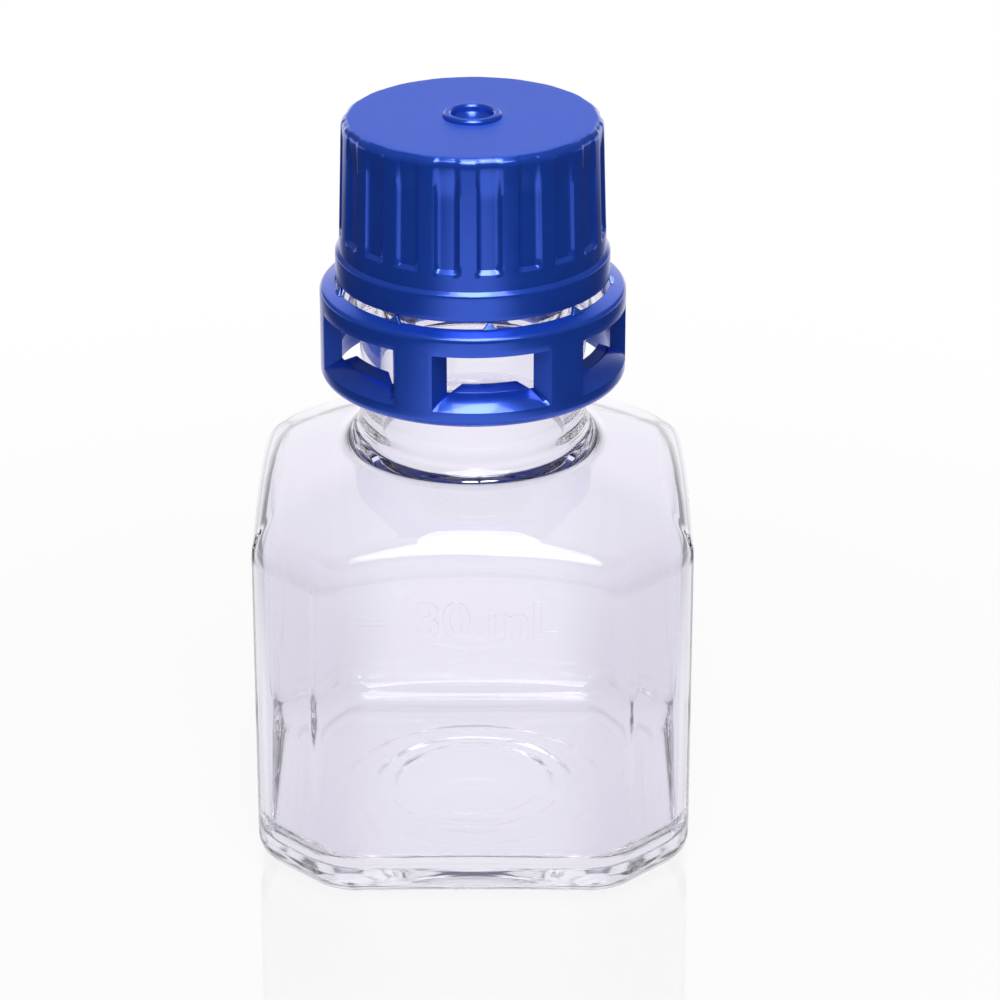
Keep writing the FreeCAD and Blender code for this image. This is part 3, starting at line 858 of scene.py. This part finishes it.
liner_turn = math.tau * np.arange(LINER_COLUMNS) / LINER_COLUMNS
liner_radius = liner_high[0]
bottom = np.linspace(HUB, liner_radius - LINER_ROUND, 40, endpoint=False)[:, None]
lip_middle = (FINISH_RADIUS + BORE_RADIUS) / 2
lip_half = (FINISH_RADIUS - BORE_RADIUS) / 2
dent = LIP_DENT * eased(DENT_STEEPNESS * (1 - np.abs(bottom - lip_middle) / lip_half))
rows = [
    (bottom, liner_low[2] + dent),
    bend(liner_radius - LINER_ROUND, liner_low[2] + LINER_ROUND, LINER_ROUND, -90, 0, 4),
    bend(liner_radius - LINER_ROUND, liner_high[2] - LINER_ROUND, LINER_ROUND, 0, 90, 4),
    run((liner_radius - LINER_ROUND, liner_high[2]), (HUB, liner_high[2]), 4),
]
liner = skin("foam_liner", *stacked(rows, len(liner_turn)), liner_turn)
liner.data.set_sharp_from_angle(angle=SHARP_ANGLE)
print("liner:", len(liner.data.polygons), "faces")

# %% [markdown]
# ## The tamper ring
#
# The ring hangs under the cap until the first opening tears it off. Six windows with splayed sides let
# the mould reach the pawls inside. Booleans would leave ragged faces at the slanted sides, so the ring
# is a grid that closes on itself, in which the columns outside and inside have their own angles. The
# faces of the windows are left out, and new faces join the outer and the inner wall there. A narrow
# bevel then softens the edges, apart from those where the pawls start.

# %% Lay out the ring
WINDOWS = 6
WINDOW_TURN = math.radians(7.75)
WINDOW_COLUMNS = 20
PILLAR_COLUMNS = 8
WINDOW_HALF_OUTSIDE = math.radians(22.6)
WINDOW_HALF_INSIDE = math.radians(18.0)
RING_BORE = 12.07
RING_TOP_FLAT = 0.05
RING_TOP_SLOPE = 21
RING_TOP_ROUND = 0.5
RING_FOOT_ROUND = 0.8
SILL = RING_FOOT + 1.5
WINDOW_HEAD = RING_TOP - 2.09
RAMP = math.tan(math.radians(45))
INNER_SILL = SILL + (RING_RADIUS - RING_BORE) * RAMP
WINDOW_ROWS = 6
RING_BEVEL = 0.1


def ring_columns(half_window):
    """Angles of the columns round the ring: first each window, then the pillar beside it."""
    pitch = math.tau / WINDOWS
    window = np.linspace(-half_window, half_window, WINDOW_COLUMNS, endpoint=False)
    pillar = np.linspace(half_window, pitch - half_window, PILLAR_COLUMNS, endpoint=False)
    one = np.concatenate([window, pillar])
    return np.concatenate([WINDOW_TURN + pitch * number + one for number in range(WINDOWS)])


def ring_rows():
    """Rows round the ring's section, each as radius, height and share of the way inside."""
    out_up = 90 - RING_TOP_SLOPE
    flat_end = RING_BORE + RING_TOP_FLAT
    slope_foot = RING_TOP - (RING_RADIUS - flat_end) * math.tan(math.radians(RING_TOP_SLOPE))
    round_foot = slope_foot - RING_TOP_ROUND * math.tan(math.radians(out_up / 2))
    outer = [
        bend(RING_RADIUS - RING_FOOT_ROUND, RING_FOOT + RING_FOOT_ROUND, RING_FOOT_ROUND, -90, 0, 9),
        run((RING_RADIUS, RING_FOOT + RING_FOOT_ROUND), (RING_RADIUS, SILL), 2),
        run((RING_RADIUS, SILL), (RING_RADIUS, WINDOW_HEAD), WINDOW_ROWS),
        run((RING_RADIUS, WINDOW_HEAD), (RING_RADIUS, round_foot), 2),
        bend(RING_RADIUS - RING_TOP_ROUND, round_foot, RING_TOP_ROUND, 0, out_up, 7),
        bend(RING_RADIUS - RING_TOP_ROUND, round_foot, RING_TOP_ROUND, out_up, out_up + 1, 1),
        ([[flat_end]], [[RING_TOP]]),
    ]
    inner = [
        run((RING_BORE, RING_TOP), (RING_BORE, WINDOW_HEAD), 3),
        run((RING_BORE, WINDOW_HEAD), (RING_BORE, INNER_SILL), WINDOW_ROWS),
        run((RING_BORE, INNER_SILL), (RING_BORE, RING_FOOT), 4),
        ([[RING_BORE]], [[RING_FOOT]]),
    ]
    sides = [stacked(outer, 1), stacked(inner, 1)]
    radius, height = [np.vstack(grids).ravel() for grids in zip(*sides)]
    return radius, height, np.repeat([0.0, 1.0], [len(side[0]) for side in sides])


ring_radius, ring_height, ring_inside = ring_rows()
turn_outside = ring_columns(WINDOW_HALF_OUTSIDE)
turn_inside = ring_columns(WINDOW_HALF_INSIDE)
print(len(ring_radius), "rows of", len(turn_outside), "columns")

# %% Join the ring's faces and leave the windows open
rows, columns = len(ring_radius), len(turn_outside)
ring_turn = turn_outside + (turn_inside - turn_outside) * ring_inside[:, None]
ring_points = round_the_axis(ring_radius[:, None], ring_height[:, None], ring_turn).reshape(-1, 3)
in_window = np.arange(columns) % (WINDOW_COLUMNS + PILLAR_COLUMNS) < WINDOW_COLUMNS
outside_sill = int(np.flatnonzero(np.isclose(ring_height, SILL))[0])
outside_head = outside_sill + WINDOW_ROWS
inside_head = int(np.flatnonzero(np.isclose(ring_height, WINDOW_HEAD) & (ring_inside == 1))[0])
inside_sill = inside_head + WINDOW_ROWS


def at(row, column):
    return row % rows * columns + column % columns


def between(low, high, column):
    """The face between two rows, over one column."""
    return [at(low, column), at(low, column + 1), at(high, column + 1), at(high, column)]


ring_faces = []
for row in range(rows):
    open_row = outside_sill <= row < outside_head or inside_head <= row < inside_sill
    for column in range(columns):
        if not (open_row and in_window[column]):
            ring_faces.append(between(row, row + 1, column))
for first in range(0, columns, WINDOW_COLUMNS + PILLAR_COLUMNS):
    last = first + WINDOW_COLUMNS
    for step in range(WINDOW_ROWS):
        outer, inner = outside_sill + step, inside_sill - step
        for column in (first, last):
            side = [at(outer, column), at(outer + 1, column), at(inner - 1, column), at(inner, column)]
            ring_faces.append(side)
    for column in range(first, last):
        for outer, inner in ((outside_sill, inside_sill), (outside_head, inside_head)):
            ring_faces.append(between(outer, inner, column))

ring = new_piece("band_ring", ring_points, ring_faces)
close_seams(ring.data)
fold = {at(inside_sill, column) for column in range(columns)}
soften(ring, RING_BEVEL, fold)
print("ring:", len(ring.data.polygons), "faces,", WINDOWS, "windows")

# %% [markdown]
# ## Pawls and bridges
#
# Behind each window a ramp-shaped pawl points up and inward, so that the ring snaps over the bead of
# the neck but can't come back. Each one bends at its root, so each is a piece of its own: a curved
# plate that narrows to its tip. Its root starts at the height of the hinge, just inside the ring, so
# that it doesn't cut into the sill as it bends. Nine small bridges join the ring to the cap. Each is a
# wedge whose point ends just under the cap, where the real one tears.

# %% Plates that narrow to their tip
PAWL_ROOT_RADIUS = RING_BORE - 0.06
PAWL_HINGE = RING_FOOT + 2.63
PAWL_TIP_RADIUS = 11.15
PAWL_TIP_HEIGHT = RING_FOOT + 3.4
PAWL_ROOT_THICK = 0.85
PAWL_TIP_THICK = 0.55
PAWL_ROOT_HALF = RING_BORE * WINDOW_HALF_INSIDE - 0.03
PAWL_TIP_HALF = 2.35
PAWL_BEVEL = 0.1
BRIDGES = 9
BRIDGE_TURN = math.radians(7.2)
BRIDGE_DEPTH = 0.32
BRIDGE_FOOT_HALF = 0.65
BRIDGE_POINT_HALF = 0.14
BRIDGE_HEIGHT = 0.49
BRIDGE_LEAN = 0.36
BRIDGE_ROOT = 0.05
BRIDGE_FLARE = 1.2
BRIDGE_BEVEL = 0.04
PLATE_COLUMNS = 13
PLATE_STEPS = np.linspace(0, 1, 6)


def plate(name, turn, sections, bevel, plain=()):
    """A closed piece lofted through sections, each with its radius range, height range and half width."""
    share = np.linspace(-1, 1, PLATE_COLUMNS)
    loops = []
    for (radius_low, radius_high), (low, high), half_width in sections:
        for radius, height in ((radius_high, high), (radius_low, low)):
            loops.append(round_the_axis(radius, height, turn + share * half_width / radius))
    points = np.concatenate(loops)
    last = PLATE_COLUMNS - 1
    edge = [[2 * step * PLATE_COLUMNS, (2 * step + 1) * PLATE_COLUMNS] for step in range(len(sections))]

    def strip(low, high):
        return [[low + k, low + k + 1, high + k + 1, high + k] for k in range(last)]

    faces = strip(*edge[0]) + strip(*edge[-1])
    for low, high in zip(edge, edge[1:]):
        faces += strip(low[0], high[0]) + strip(low[1], high[1])
        faces += [[low[0] + k, low[1] + k, high[1] + k, high[0] + k] for k in (0, last)]
    piece = new_piece(name, points, faces)
    close_seams(piece.data)
    soften(piece, bevel, plain)
    return piece


pawls = []
for number in range(WINDOWS):
    sections = []
    for share in PLATE_STEPS:
        radius = PAWL_ROOT_RADIUS + (PAWL_TIP_RADIUS - PAWL_ROOT_RADIUS) * share
        top = PAWL_HINGE + (PAWL_TIP_HEIGHT - PAWL_HINGE) * share
        thick = PAWL_ROOT_THICK + (PAWL_TIP_THICK - PAWL_ROOT_THICK) * share
        half = PAWL_ROOT_HALF + (PAWL_TIP_HALF - PAWL_ROOT_HALF) * share
        sections.append(((radius, radius), (top - thick, top), half))
    turn = WINDOW_TURN + math.tau * number / WINDOWS
    pawls.append(plate(f"snap_pawl_{number + 1}", turn, sections, PAWL_BEVEL, range(PLATE_COLUMNS)))

bridges = []
for number in range(BRIDGES):
    sections = []
    for share in PLATE_STEPS:
        inner = RING_BORE - BRIDGE_LEAN * share
        top = RING_TOP - BRIDGE_ROOT + (BRIDGE_HEIGHT + BRIDGE_ROOT) * share
        half = BRIDGE_POINT_HALF + (BRIDGE_FOOT_HALF - BRIDGE_POINT_HALF) * (1 - share) ** BRIDGE_FLARE
        sections.append(((inner, inner + BRIDGE_DEPTH), (top, top), half))
    turn = BRIDGE_TURN + math.tau * number / BRIDGES
    bridges.append(plate(f"tear_bridge_{number + 1}", turn, sections, BRIDGE_BEVEL))
print(len(pawls), "pawls and", len(bridges), "bridges")

# %% [markdown]
# ## Finishes
#
# Clear copolyester is nearly colourless with a cold lavender cast, and blow moulding leaves it faintly
# wavy. Its colour is darker in the heel and the lower corners: painted shade for the dim floor and room
# that those parts bend into view. The blue closure is pigmented polyethylene: glossy walls, a matt
# grained top, mottled pigment. Its gloss is tinted, because light goes a little way into the pigment,
# so the surface is partly metallic under a thin clear coat, which is fullest on the sloped sills and
# ledges, where the mould is polished to let go of the plastic. The bridges are the same plastic in a
# slightly paler tint, a painted highlight for the glint on their sloped faces. The liner is white foam
# with small cells.
# All of it is made from noise and smooth masks in the coordinates of each piece, so the finish follows
# a moving piece and needs no picture.

# %% Helpers for finishes


def new_finish(name):
    """An empty material, its node tree and the place on the piece as a signal."""
    finish = bpy.data.materials.new(name)
    finish.use_nodes = True
    finish.node_tree.nodes.clear()
    return finish, finish.node_tree, Signal.node(finish.node_tree, "ShaderNodeTexCoord", output="Object")


def noise(tree, place, size, detail=2.0):
    """Noise with patches of a size in millimetres."""
    inputs = {"Vector": place, "Scale": 1 / (size * MM), "Detail": detail}
    return Signal.node(tree, "ShaderNodeTexNoise", inputs=inputs, output=0)


def relief(tree, height, depth):
    """A normal from a height, for bumps of a depth in millimetres."""
    inputs = {"Strength": 1.0, "Distance": depth * MM, "Height": height}
    return Signal.node(tree, "ShaderNodeBump", inputs=inputs)


def shade(tree, inputs):
    """End a finish with a principled surface."""
    surface = Signal.node(tree, "ShaderNodeBsdfPrincipled", inputs=inputs)
    Signal.node(tree, "ShaderNodeOutputMaterial", inputs={"Surface": surface})


print("an empty finish has", len(new_finish("trial")[1].nodes), "node")
bpy.data.materials.remove(bpy.data.materials["trial"])

# %% Clear copolyester
CLEAR_TINTS = ((0.955, 0.945, 0.99, 1), (0.975, 0.965, 1.0, 1))
# Painted shade: a darker tint for the heel and the lower corners, which bend the dim floor and room into
# view.
PAINTED_SHADE_TINT = (0.83, 0.81, 0.87, 1)
CORNER_REACH = (25.0, 32.5)
CORNER_LOW = (4.0, 16.0)
CORNER_SHARE = 0.5
SHOULDER_SHARE = 0.8
CLEAR_IOR = 1.57
CLEAR_ROUGH = 0.008
CLOUD_SIZE = 9.0
CLOUD_ROUGH = 0.02
HEEL_ROUGH = 0.05
WAVE_SIZE = 6.0
WAVE_DEPTH = 0.012

clear, tree, place = new_finish("clear_copolyester")
across, along, height = split(tree, place)
cloud = noise(tree, place, CLOUD_SIZE)
# Masks of that painted shade, in the heel and in the corners low on the body; the heel is also rougher.
heel = height.eased(HEEL_ROUND * MM, 0)
below_shoulder = height.eased(SHOULDER_HEIGHT * MM, SHOULDER_SHARE * SHOULDER_HEIGHT * MM)
low = height.eased(CORNER_LOW[0] * MM, CORNER_LOW[1] * MM, 1, CORNER_SHARE)
diagonal = across.size() + along.size()
corner = diagonal.eased(CORNER_REACH[0] * MM, CORNER_REACH[1] * MM) * below_shoulder * low
shade(tree, {
    "Base Color": blend(tree, corner.either(heel), blend(tree, cloud, *CLEAR_TINTS), PAINTED_SHADE_TINT),
    "Roughness": CLEAR_ROUGH + CLOUD_ROUGH * cloud + HEEL_ROUGH * heel,
    "Transmission Weight": 1.0,
    "IOR": CLEAR_IOR,
    "Normal": relief(tree, noise(tree, place, WAVE_SIZE, 1.0), WAVE_DEPTH),
})
bottle.data.materials.append(clear)
print("clear copolyester:", len(tree.nodes), "nodes")

# %% Blue polyethylene, plain and paler at the bridges
BLUE_TINTS = ((0.014, 0.09, 0.7, 1), (0.02, 0.115, 0.82, 1))
# Painted highlight: the bridges get a slightly paler blue for the glint on their sloped faces.
PAINTED_GLINT_TINTS = ((0.015, 0.1, 0.64, 1), (0.03, 0.15, 0.74, 1))
TINTED_SHEEN = 0.5
SKIN_GLOSS = 0.35
SLOPE_GLOSS = 1.0
SLOPED = (0.3, 0.6)
LEVEL = (0.82, 0.9)
COAT_ROUGH = 0.08
WALL_ROUGH = 0.2
TOP_ROUGH = 0.42
TOP_FACING = (0.9, 0.99)
TOP_BAND = (CAP_TOP - 1, CAP_TOP - 0.5)
GATE_EDGE = 0.1
BLUE_IOR = 1.49
MOTTLE_SIZE = 1.6
MOTTLE_ROUGH = 0.06
GRAIN_SIZE = 0.12
WALL_GRAIN = 0.15
SWELL_SIZE = 4.0
SWELL_SHARE = 0.4
SKIN_RELIEF = 0.012


def pigmented(name, tints, matt_top):
    """A pigmented plastic. Where it is asked for, the flat of the cap's top is matt and grained."""
    finish, tree, place = new_finish(name)
    normal = Signal.node(tree, "ShaderNodeTexCoord", output="Normal")
    facing_up = Signal.node(tree, "ShaderNodeSeparateXYZ", inputs={"Vector": normal}, output="Z")
    across, along, height = split(tree, place)
    off_axis = (across * across + along * along).math("SQRT")
    near_top = height.eased(TOP_BAND[0] * MM, TOP_BAND[1] * MM)
    off_gate = off_axis.eased(GATE_RADIUS * MM, (GATE_RADIUS + GATE_EDGE) * MM)
    matt = facing_up.eased(*TOP_FACING) * near_top * off_gate * matt_top
    polished = facing_up.eased(*SLOPED) * facing_up.eased(*LEVEL, 1, 0)
    mottle = noise(tree, place, MOTTLE_SIZE, 4.0)
    grain = noise(tree, place, GRAIN_SIZE)
    swell = noise(tree, place, SWELL_SIZE)
    shade(tree, {
        "Base Color": blend(tree, mottle, *tints),
        "Roughness": WALL_ROUGH + MOTTLE_ROUGH * mottle + (TOP_ROUGH - WALL_ROUGH) * matt,
        "Metallic": TINTED_SHEEN * (1 - matt),
        "Coat Weight": (SKIN_GLOSS + (SLOPE_GLOSS - SKIN_GLOSS) * polished) * (1 - matt),
        "Coat Roughness": COAT_ROUGH,
        "IOR": BLUE_IOR,
        "Normal": relief(tree, grain * (WALL_GRAIN + matt) + SWELL_SHARE * swell, SKIN_RELIEF),
    })
    return finish


blue = pigmented("closure_blue", BLUE_TINTS, 1.0)
pale = pigmented("closure_blue_pale", PAINTED_GLINT_TINTS, 0.0)
for piece in (cap, ring, *pawls):
    piece.data.materials.append(blue)
for piece in bridges:
    piece.data.materials.append(pale)
print("blue on", 2 + len(pawls), "pieces, pale on", len(bridges))

# %% White foam
FOAM_TINTS = ((0.78, 0.78, 0.76, 1), (0.86, 0.86, 0.84, 1))
FOAM_PATCH = 1.2
FOAM_CELL = 0.25
FOAM_DEPTH = 0.05
FOAM_ROUGH = 0.75
CELL_ROUGH = 0.15

foam, tree, place = new_finish("liner_foam")
spread = {"Vector": place, "Scale": 1 / (FOAM_CELL * MM)}
cells = Signal.node(tree, "ShaderNodeTexVoronoi", inputs=spread, output="Distance")
shade(tree, {
    "Base Color": blend(tree, noise(tree, place, FOAM_PATCH), *FOAM_TINTS),
    "Roughness": FOAM_ROUGH + CELL_ROUGH * cells,
    "Normal": relief(tree, cells, FOAM_DEPTH),
})
liner.data.materials.append(foam)
print("foam:", len(tree.nodes), "nodes")

# %% [markdown]
# ## Onto the frame
#
# Each piece takes the place of its CAD node, which is hidden, and is parented to an empty named after
# that node's body. The bridges share the ring's empty, and each pawl has an empty of its own.

# %% Seat every piece on its body


def seat(piece, body, node):
    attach(piece, body)
    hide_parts(node)


seat(bottle, "bottle", "bottle")
seat(cap, "cap", "cap_shell")
seat(liner, "liner", "sealing_liner")
seat(ring, "tamper_ring", "tamper_ring")
for number, pawl in enumerate(pawls, 1):
    seat(pawl, f"pawl_{number}", f"retaining_pawl_{number}")
for number, bridge in enumerate(bridges, 1):
    seat(bridge, "tamper_ring", f"break_bridge_{number}")

low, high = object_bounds()
